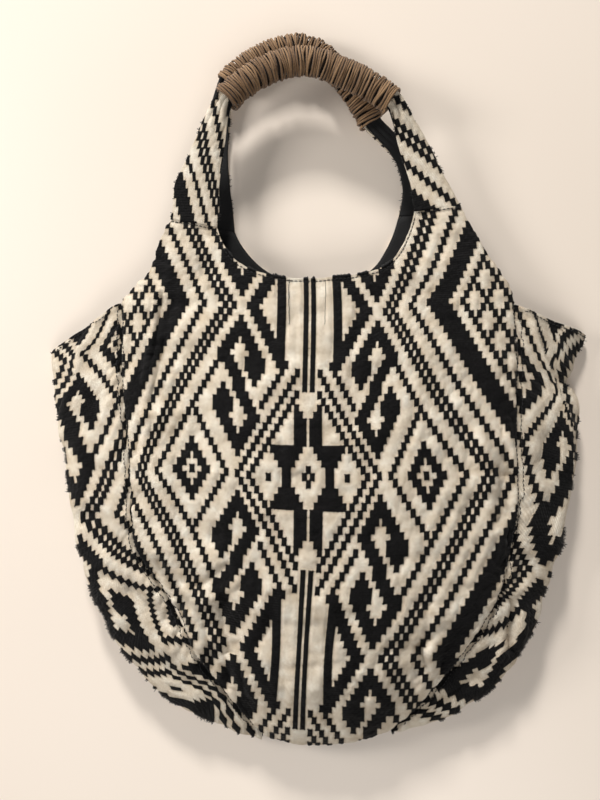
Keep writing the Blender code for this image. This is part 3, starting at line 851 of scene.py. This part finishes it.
for side, seam, rim, back_seam, flip, seed, table in (
    ("left", LEFT_SEAM, LEFT_RIM, BACK_LEFT_SEAM, True, 5, LEFT_CLOTH),
    ("right", RIGHT_SEAM, RIGHT_RIM, BACK_RIGHT_SEAM, False, 8, RIGHT_CLOTH),
):
    band, down = dress_gusset(gusset(seam[:EAR], rim, back_seam[:EAR]), seed, flip)
    beyond = behind_fold(band, side)
    # Behind its fold line the ear drops by its own thickness, and before it the cloth rolls up
    top = soft(np.arange(len(band))[:, None] / (len(band) - 1), 0.62, 0.72)
    tuck = top * (2.8 * soft(beyond, -0.3, 1.6) - 1.3 * np.exp(-((beyond + 3) / 4) ** 2))
    tuck = tuck * soft(normals(band, flip)[..., 2], 0.1, 0.5)
    band[..., 2] -= tuck
    keep_above(band, LYING)
    inner_bands[side] = band - normals(band, flip) * down[..., None]
    fit = lay(table)
    flap_fit = lay(RIGHT_FLAP_CLOTH) if side == "right" else fit

    def cells_of(surface):
        """Upper half from the picture; the hidden half runs on from the rim in straight grain."""
        shown = surface[:, : GUSSET_COLUMNS + 1]
        flap = behind_fold(shown, side) > 0
        flap[: int(EAR_ROWS * len(flap))] = False
        upper = np.where(flap[..., None], flap_fit(shown), fit(shown))
        moved = surface[:, GUSSET_COLUMNS + 1:] - shown[:, -1:]
        across = (np.abs(moved[..., 0]) - moved[..., 2]) / CELL_W
        lower = upper[:, -1:] - np.stack([across, moved[..., 1] / CELL_H], -1)
        return np.concatenate([upper, lower], axis=1)

    gussets[side] = cloth_piece("gusset_cloth_" + side, band, cells_of, "gusset_" + side,
                                flip=flip, down=down)
    print("gusset", side, band.shape)

# %% [markdown]
# ## The back
# The back lies flat on the table, so only its edges and, from behind, its
# pattern are seen. It is the same cloth with the same repeat.

# %% Back panel
BACK_ROWS, BACK_COLUMNS = 240, 180
BACK_MIDDLE = -72  # where the pattern's middle row lies on the back
back = patch(seam_line(BACK_LEFT_SEAM, BACK_ROWS), seam_line(BACK_RIGHT_SEAM, BACK_ROWS),
             spline(BACK_BASE_SEAM, BACK_COLUMNS + 1), mouth_line(BACK_MOUTH, BACK_COLUMNS))
keep_above(back, LYING)


def back_cells(surface):
    """Straight grain: one column for each CELL_W and one row for each CELL_H."""
    return np.stack([surface[..., 0] / CELL_W, (BACK_MIDDLE - surface[..., 1]) / CELL_H], -1)


cloth_piece("back_cloth", back, back_cells, "back_panel", flip=True)
print("back cloth", back.shape)

# %% [markdown]
# ## Straps
# Each strap is pieced to its panel by a seam, curls a little across, narrows
# and is gathered into the twine.

# %% Strap surfaces
STRAP_EDGES = {
    "front_strap_left": (
        [(-133, 150, 27), (-131, 162, 27), (-129, 182, 27), (-116, 209, 28), (-103, 237, 32)],
        [(-92, 143, 28), (-90, 158, 28), (-90, 180, 28), (-87, 203, 29), (-83, 226, 33)],
    ),
    "front_strap_right": (
        [(126, 162, 28), (113, 185, 28), (97, 216, 30), (83, 238, 33)],
        [(85, 157, 29), (82, 180, 28), (76, 199, 29), (69, 220, 32)],
    ),
    "back_strap_left": (
        [(-134, 148, 3), (-128, 180, 3), (-118, 209, 4), (-105, 240, 7)],
        [(-78, 144, 3), (-80, 165, 3), (-83, 190, 3), (-84, 220, 5)],
    ),
    "back_strap_right": (
        [(124, 160, 3), (112, 185, 3), (97, 208, 4), (78, 226, 7)],
        [(74, 158, 3), (78, 179, 3), (75, 199, 4), (67, 214, 7)],
    ),
}


STRAP_ROWS, STRAP_COLUMNS = 110, 40
TUCK = 9.0  # how far a strap runs into the wrapping
STRAP_END = 15.0  # its width there


def strap_grid(name, handle, at_start):
    """Straight lines between two edge curves, curled up by 4u(1-u) in the middle."""
    outer, inner = (np.array(edge, float) for edge in STRAP_EDGES[name])
    path = spline(handle, 200)[:: 1 if at_start else -1]
    i = int(np.searchsorted(run_of(path)[1:], TUCK))
    along = (path[i + 1] - path[i]) / np.linalg.norm(path[i + 1] - path[i])
    side = np.array([-along[1], along[0], 0])
    if np.dot(outer[-1] - inner[-1], side) < 0:
        side = -side
    edges = []
    for edge, sign in ((outer, 1), (inner, -1)):
        tip = path[i] + sign * side * STRAP_END / 2
        edges.append(spline(np.vstack([edge, tip - along * (TUCK + 2), tip]), STRAP_ROWS + 1))
    u = np.linspace(0, 1, STRAP_COLUMNS + 1)[None, :, None]
    grid = (1 - u) * edges[0][:, None] + u * edges[1][:, None]
    curl = 4 * u[..., 0] * (1 - u[..., 0])
    v = np.linspace(0, 1, STRAP_ROWS + 1)[:, None]
    if "front" in name:
        grid[..., 2] += np.interp(v, [0, 0.75, 1], [2.5, 3, 0]) * curl
    gather = soft(v, 0.55, 0.95)
    grid[..., 2] += gather * 1.1 * np.sin(u[..., 0] * 6 * np.pi + 0.6)
    return grid


STRAP_CLOTH = {
    "front_strap_left": [
        (-30, -39, 213, 103), (-24, -33, 222, 152), (-32.5, -35.5, 202, 132),
        (-23.7, -26.7, 217, 204), (-34.9, -31.9, 188, 161), (-27.9, -24.9, 206.5, 219),
        (-37.5, -30, 183, 177), (-32.4, -24.9, 194, 219),
    ],
    "front_strap_right": [
        (-34, -37, 419, 146), (-34, -29, 438.8, 200.1), (-40, -37, 395.3, 154.6),
        (-40, -29, 415, 208.7), (-34, -43, 404.2, 105.4), (-28, -37, 442.7, 137.4),
    ],
}
straps, strap_tops = {}, {}
for name, handle, at_start, flip in (
    ("front_strap_left", FRONT_HANDLE, True, False),
    ("front_strap_right", FRONT_HANDLE, False, True),
    ("back_strap_left", BACK_HANDLE, True, True),
    ("back_strap_right", BACK_HANDLE, False, False),
):
    grid = strap_grid(name, handle, at_start)
    straps[name] = (grid, flip)
    fit = lay(STRAP_CLOTH[name]) if name in STRAP_CLOTH else back_cells
    strap_tops[name] = cloth_piece(name.replace("strap", "strap_cloth"), grid, fit, name,
                                   flip=flip)
print("straps", len(straps))

# %% [markdown]
# ## Lining
# Black cotton lines every panel. It shows behind the mouth, along the inside of
# the arms and in the ears.


# %% Lining pieces
LINING = 0.7  # its thickness
LINING_GAP = 0.95  # how far it lies inside the cloth's inner face
LINING_FLOOR = 2.0  # its lowest height, above the cloth on the table


def lining_piece(name, grid, node, flip, seed):
    """The cloth's surface moved inwards, with fine slack wrinkles and a thickness."""
    wrinkle = smooth_noise(grid[..., 0], grid[..., 1], 16, seed) * 0.12
    surface = grid - normals(grid, flip) * (LINING_GAP + wrinkle)[..., None]
    keep_above(surface, LINING_FLOOR)
    piece = make_mesh(name, surface, grid_faces(*grid.shape[:2], flip=flip), cotton,
                      node)
    solid = piece.modifiers.new("Thickness", "SOLIDIFY")
    solid.thickness = LINING / 1000
    solid.offset = -1
    solid.use_rim = True


inner_front = front - normals(front) * valley[..., None]
lining_piece("front_lining_cloth", inner_front[::5, ::5], "front_lining", False, 21)
lining_piece("back_lining_cloth", back[::3, ::3], "back_lining", True, 22)
for side, flip in (("left", True), ("right", False)):
    lining_piece("gusset_lining_cloth_" + side, inner_bands[side][::5, ::4],
                 "gusset_lining_" + side, flip, 23)
for name, (grid, flip) in straps.items():
    lining_piece(name.replace("strap", "strap_lining_cloth"), grid[::2, ::2],
                 name.replace("strap", "strap_lining"), flip, 24)
print("linings made")

# %% [markdown]
# ## Jute wrapping
# The grip is one long twine wound about eighty times round the rolled strap. It
# is a real helix here, not a bumpy sleeve: the path of the twine is computed for
# every turn, with small changes of pitch and slant, and a twisted two-ply
# section is carried along it.


# %% Twine
def frames(path):
    """Unit tangent, sideways and upward directions along a path."""
    along = unit(np.gradient(path, axis=0))
    side = unit(np.cross(along, [0, 0, 1.0]))
    return along, side, np.cross(side, along)


SIDES = 8  # corners of the twine's section
TWIST, LOBE = 1.9, 0.18  # turn of its two plies in radians for each mm, and their depth


def twine(name, path, radius, tone, node=None, axis=None):
    """A closed tube: rings across the path, r * (1 - LOBE + 2 LOBE |cos(angle - TWIST * run)|)."""
    _, side, up = frames(path)
    angle = 2 * np.pi * np.arange(SIDES) / SIDES
    r = np.broadcast_to(radius, (len(path),))[:, None]
    r = r * (1 - LOBE + 2 * LOBE * np.abs(np.cos(angle - TWIST * run_of(path)[:, None])))
    ring = rings(path, r, SIDES, side, up)
    keep_above(ring, FLOOR)
    points = np.vstack([ring.reshape(-1, 3), path[:1], path[-1:]])
    this = np.arange(SIDES)
    after = (this + 1) % SIDES
    last = (len(path) - 1) * SIDES
    start, end = np.full(SIDES, len(points) - 2), np.full(SIDES, len(points) - 1)
    caps = np.vstack([np.stack([this, after, start], 1),
                      np.stack([end, last + after, last + this], 1)])
    faces = grid_faces(len(path), SIDES, close=True, flip=True).tolist() + caps.tolist()
    mesh = bpy.data.meshes.new(name)
    mesh.from_pydata(((points + SHIFT) / 1000).tolist(), [], faces)
    mesh.polygons.foreach_set("use_smooth", np.ones(len(faces), bool))
    mesh.update()
    piece = make_piece(name, mesh, jute, node)
    add_field(piece, "tone", np.concatenate([np.repeat(tone, SIDES), tone[[0, -1]]]))
    if axis is not None:
        # Painted shade for the jute: how far each point of the twine faces along the grip, towards
        # the neighbouring turns.
        facing = (ring - path[:, None]) / r[..., None]
        painted_flank_shade = np.abs(np.sum(facing * axis[:, None], -1)) ** 2
        add_field(piece, "painted_flank_shade", np.concatenate([painted_flank_shade.ravel(), [0.0, 0.0]]))


TWINE_R = 1.06  # its mean radius
GRIP_R = 12.3 + 0.35  # outside of the wrapping, with a little room for turns that lie proud
PER_TURN = 44  # points of the helix


def wind(name, handle, node, turns, seed):
    """The twine's path: centre + R(cos a * side + sin a * up), a growing with the run.

    Each turn has its own push along the grip, slant and height above its neighbours.
    """
    r = np.random.default_rng(seed)
    path = spline(handle, 400)
    turn = np.arange(turns * PER_TURN + 1) / PER_TURN
    knots = np.arange(turns + 2)
    push = np.interp(turn, knots, r.normal(0, 0.14, turns + 2))
    slant = np.interp(turn, knots, r.normal(0.35, 0.95, turns + 2))
    proud = np.interp(turn, np.arange(0, turns + 2, 0.5), r.normal(0.1, 0.75, 2 * turns + 4))
    angle = 2 * np.pi * turn + 0.5
    wobble = push + slant * np.sin(angle + 0.8) * 0.5 + 0.30 * np.sin(2 * angle + 9 * push)
    at = np.clip((turn + wobble) / turns, 0, 1) * (len(path) - 1)
    centre, along, across, lift = (
        np.stack([np.interp(at, np.arange(len(path)), k) for k in rows.T], 1)
        for rows in (path, *frames(path)))
    big = GRIP_R - TWINE_R + np.clip(proud, -0.8, 1.7)
    line = centre + big[:, None] * (np.cos(angle)[:, None] * across
                                    + np.sin(angle)[:, None] * lift)
    tone = np.interp(turn, knots, r.uniform(0, 1, turns + 2))
    radius = TWINE_R * np.interp(turn, np.arange(0, turns + 2, 0.25),
                                 r.uniform(0.8, 1.15, 4 * turns + 8))
    twine(name, line, radius, tone, node, along)


stray = spline([(-83, 268, 17), (-87, 271, 19), (-92, 269, 17), (-91.5, 273.5, 14),
                (-88, 277, 15)], 40)
twine("stray_twine", stray, 0.62, np.full(len(stray), 0.4))
wind("front_twine", FRONT_HANDLE, "front_handle_wrap", 78, 31)
wind("back_twine", BACK_HANDLE, "back_handle_wrap", 82, 32)
print("twine wound")

# %% [markdown]
# ## The rolled straps inside the wrapping
# Between the turns of twine the rolled cloth shows in the gaps. Its dark colour is
# partly the dark rolled cloth and partly painted shade for those gaps. The CAD
# tubes have the right shape, so they stay and only get a dark, rough finish.

# %% Rolled cloth, partly painted dark as shade
# Painted shade, in part: the cores are dark brown so that the gaps between the turns of twine read
# as shadow.
rolled, look = new_material("rolled cloth")
fine = look.noise(900, 3)
look.surface({
    "Base Color": look.ramp(fine, (0.3, linear(0.10, 0.075, 0.055)),
                            (0.7, linear(0.24, 0.185, 0.14))),
    "Roughness": 0.9, "Normal": look.bump(fine, 0.8, 0.0006)})
for name in ("front_handle_core", "back_handle_core"):
    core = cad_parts[name]
    core.data.materials.clear()
    core.data.materials.append(rolled)
print("rolled cloth set")

# %% [markdown]
# ## Topstitching
# The side seams are stitched down with black thread on both sides, and the
# mouth, the ears and the strap seams have one row near the edge. Each stitch is
# a short thread that rises out of the cloth and dives back, so a row reads as
# dashes.


# %% Stitches
def edge_first(grid, edge):
    """The grid turned so that its left edge, right edge or top comes first, as a column."""
    if edge == "top":
        return np.swapaxes(grid[::-1], 0, 1)
    return grid if edge == "left" else grid[:, ::-1]


def beside(sheet, edge, distance, low, high):
    """The line that stays a distance in mm from part of a sheet's edge, and its normals."""
    rows, lifts = (edge_first(grid, edge) for grid in sheet[:2])
    part = slice(int(low * (len(rows) - 1)), int(high * (len(rows) - 1)) + 1)
    rows, lifts = rows[part], lifts[part]
    run, _ = side_distance(rows[:, :24])
    whole = np.clip((run < distance).sum(1) - 1, 0, 22)
    pick = np.arange(len(rows))
    share = ((distance - run[pick, whole]) / (run[pick, whole + 1] - run[pick, whole]))[:, None]
    return (rows[pick, whole] * (1 - share) + rows[pick, whole + 1] * share, lifts[pick, whole])


def stitch_row(path, out, length, gap, radius):
    """Points and faces of a row of six-sided arches, radius * (2.4 sin(pi t) - 0.8) high."""
    run = run_of(path)
    count = int(run[-1] // (length + gap))
    t = np.linspace(0, 1, 5)
    at = (np.arange(count)[:, None] + 0.2) * (length + gap) + t * length
    centre = np.stack([np.interp(at, run, k) for k in path.T], -1)
    lift = np.stack([np.interp(at, run, k) for k in out.T], -1)
    centre = centre + lift * (radius * (2.4 * np.sin(np.pi * t) - 0.8))[None, :, None]
    along = unit(np.gradient(centre, axis=1))
    side = unit(np.cross(along, lift))
    up = np.cross(side, along)
    ring = rings(centre, (radius * (0.5 + 0.5 * np.sin(np.pi * t)))[None, :, None], 6, side, up)
    one = np.vstack([grid_faces(5, 6, close=True, flip=True), [[0, 1, 2, 3], [0, 3, 4, 5]],
                     [[27, 26, 25, 24], [29, 28, 27, 24]]])
    return ring.reshape(-1, 3), (one[None] + 30 * np.arange(count)[:, None, None]).reshape(-1, 4)


def sew(name, rows, length=3.0, gap=0.8, radius=0.44):
    """One piece from several rows of stitches."""
    points, faces, start = [], [], 0
    for path, out in rows:
        p, f = stitch_row(path, out, length, gap, radius)
        points.append(p)
        faces.append(f + start)
        start += len(p)
    make_mesh(name, np.vstack(points), np.vstack(faces), thread)
    print(name, sum(map(len, faces)), "faces")


def on_front(line, count=40):
    """Points of the front cloth, and its normals, under a line in the picture."""
    line = spline(line, count)
    seen_front = to_pixels(front_surface).reshape(-1, 2)
    near = [int(np.argmin(((seen_front - point) ** 2).sum(1))) for point in line]
    return front_surface.reshape(-1, 3)[near], front_out.reshape(-1, 3)[near]


sew("seam_stitches", [
    beside(front_sheet, "left", 4.2, 0.03, 0.76), beside(front_sheet, "right", 4.2, 0.03, 0.76),
    beside(gussets["left"], "left", 4.2, 0.03, 0.99),
    beside(gussets["right"], "left", 4.2, 0.03, 0.99),
])
sew("hem_stitches", [
    beside(front_sheet, "top", 2.8, 0.13, 0.87),
    beside(gussets["left"], "top", 3.0, 0.05, 0.45),
    beside(gussets["right"], "top", 3.0, 0.05, 0.45),
    beside(front_sheet, "top", 2.2, 0.0, 0.12), beside(front_sheet, "top", 2.2, 0.88, 1.0),
])
sew("pleat_stitches", [
    on_front([(PLEATS[0], 279), (PLEATS[0], PLEAT_END)]),
    on_front([(PLEATS[1], 279), (PLEATS[1] - 1.2, PLEAT_END)]),
], 1.7, 0.8, 0.4)

# %% [markdown]
# ## Loose ends of yarn
# The black yarns are cut and turned at every edge, so the outline of the bag is
# not clean: short dark ends stand out of it, thickest round the rim. Each is a
# bent four-sided thread that gets thinner to its tip.


# %% Yarn ends
def yarn_ends(name, roots, towards, length, radius, seed, loose=0.55):
    """Bent threads: root + L t * (direction + random lean * t), radius falling to a third."""
    r = np.random.default_rng(seed)
    count = len(roots)
    towards = unit(towards)
    lean = r.normal(0, loose, (count, 3))
    size = length * r.uniform(0.4, 1.3, (count, 1))
    t = np.array([-0.3, 0.3, 0.7, 1.0])
    line = roots[:, None] + size[:, None] * t[:, None] * (
        towards[:, None] + lean[:, None] * np.maximum(t, 0)[:, None])
    side = unit(np.cross(towards, r.normal(0, 1, (count, 3))))
    up = np.cross(side, towards)
    thick = radius * r.uniform(0.7, 1.3, (count, 1)) * np.array([1, 1, 0.8, 0.35])
    corners = np.array([(1, 0), (0, 1), (-1, 0), (0, -1)])
    ring = line[:, :, None] + thick[..., None, None] * (
        corners[:, :1] * side[:, None, None] + corners[:, 1:] * up[:, None, None])
    keep_above(ring, FLOOR)
    one = np.vstack([grid_faces(4, 4, close=True, flip=True), [[0, 1, 2, 3], [15, 14, 13, 12]]])
    faces = (one[None] + 16 * np.arange(count)[:, None, None]).reshape(-1, 4)
    make_mesh(name, ring.reshape(-1, 3), faces, thread)


def random_places(good, count, seed):
    """Up to count random grid places among those that are good."""
    rows, columns = np.nonzero(good)
    pick = np.random.default_rng(seed).permutation(len(rows))[:count]
    return rows[pick], columns[pick]


roots, towards = [], []
for side in ("left", "right"):
    surface, out, field = gussets[side]
    rim = (np.abs(out[..., 2] - 0.12) < 0.2) & (field > 0.05) & (surface[..., 2] > 2.5)
    below_ear = np.arange(len(field))[:, None] < EAR_ROWS * len(field)
    for good, count in ((rim & below_ear, 1700), (rim & ~below_ear, 160)):
        at = random_places(good, count, 41)
        roots.append(surface[at])
        towards.append(out[at] + [0, 0, 0.1])
for name, (surface, out, field) in strap_tops.items():
    for column, step in ((0, 1), (-1, -2)):
        kept = np.random.default_rng(43 + column).integers(2, len(surface) - 8, 90)
        kept = kept[field[kept, column] > -0.15]
        roots.append(surface[kept, column])
        towards.append(surface[kept, column] - surface[kept, step])
kept = np.random.default_rng(44).integers(int(0.13 * COLUMNS), int(0.87 * COLUMNS), 420)
kept = kept[front_field[-1, kept] > 0.12]
yarn_ends("mouth_turns", front_surface[-1, kept], (front_surface[-1] - front_surface[-3])[kept],
          1.3, 0.8, 46, loose=0.15)
yarn_ends("yarn_ends", np.vstack(roots), np.vstack(towards), 1.15, 0.34, 45)
print("yarn ends", sum(map(len, roots)))

# %% [markdown]
# ## The table and the light
# The bag lies on a pale table. The light is a window beyond the top of the
# picture, a weaker lamp at the left and a dim fill. Far from the bag the camera
# sees the table fade into the backdrop, so no horizon shows.

# %% Table, light and world
PALE = linear(0.985, 0.955, 0.915)
FADE = 0.55, 1.5  # where the table starts to fade and has faded, in metres
SPAN = 9  # half the table's width
table_look, look = new_material("pale table")
look.surface({
    "Base Color": look.ramp(look.noise(1.4, 2), (0.35, linear(0.935, 0.885, 0.83)),
                            (0.65, linear(0.96, 0.912, 0.86))),
    "Roughness": 0.45})
far = look.add("VectorMath", {0: look.place}, operation="LENGTH").outputs["Value"]
look.for_camera(look.step(far, *FADE, interpolation_type="SMOOTHSTEP"),
                look.add("Emission", {"Color": PALE}),
                look.tree.nodes["Principled BSDF"])
mesh = bpy.data.meshes.new("table")
mesh.from_pydata([(-SPAN, -SPAN, 0), (SPAN, -SPAN, 0), (SPAN, SPAN, 0), (-SPAN, SPAN, 0)], [],
                 [(0, 1, 2, 3)])
mesh.materials.append(table_look)
floor = bpy.data.objects.new("table", mesh)
root.objects.link(floor)

world = bpy.data.worlds.new("room")
bpy.context.scene.world = world
world.use_nodes = True
look = Look(world.node_tree)
ambient = world.node_tree.nodes["Background"]
look.join(ambient.inputs["Color"], (1.0, 0.985, 0.97))
look.join(ambient.inputs["Strength"], 0.18)
look.for_camera(1.0, look.add("Background", {"Color": PALE}), ambient)


def area_light(name, at, size, power, colour):
    """A square lamp that looks at the bag."""
    data = bpy.data.lights.new(name, "AREA")
    data.shape = "RECTANGLE"
    data.size, data.size_y = size, size
    data.energy = power
    data.color = colour
    lamp = bpy.data.objects.new(name, data)
    lamp.location = at
    lamp.rotation_euler = (-Vector(at)).to_track_quat("-Z", "Y").to_euler()
    root.objects.link(lamp)


area_light("window", (-0.59, 3.43, 1.75), 0.5, 138, (1.0, 0.975, 0.94))
area_light("side", (-1.45, 0.35, 0.85), 0.5, 16, (1.0, 0.98, 0.955))
area_light("fill", (0.2, -1.3, 1.8), 1.0, 13, (1.0, 0.98, 0.96))
bpy.context.scene.view_settings.view_transform = "Standard"
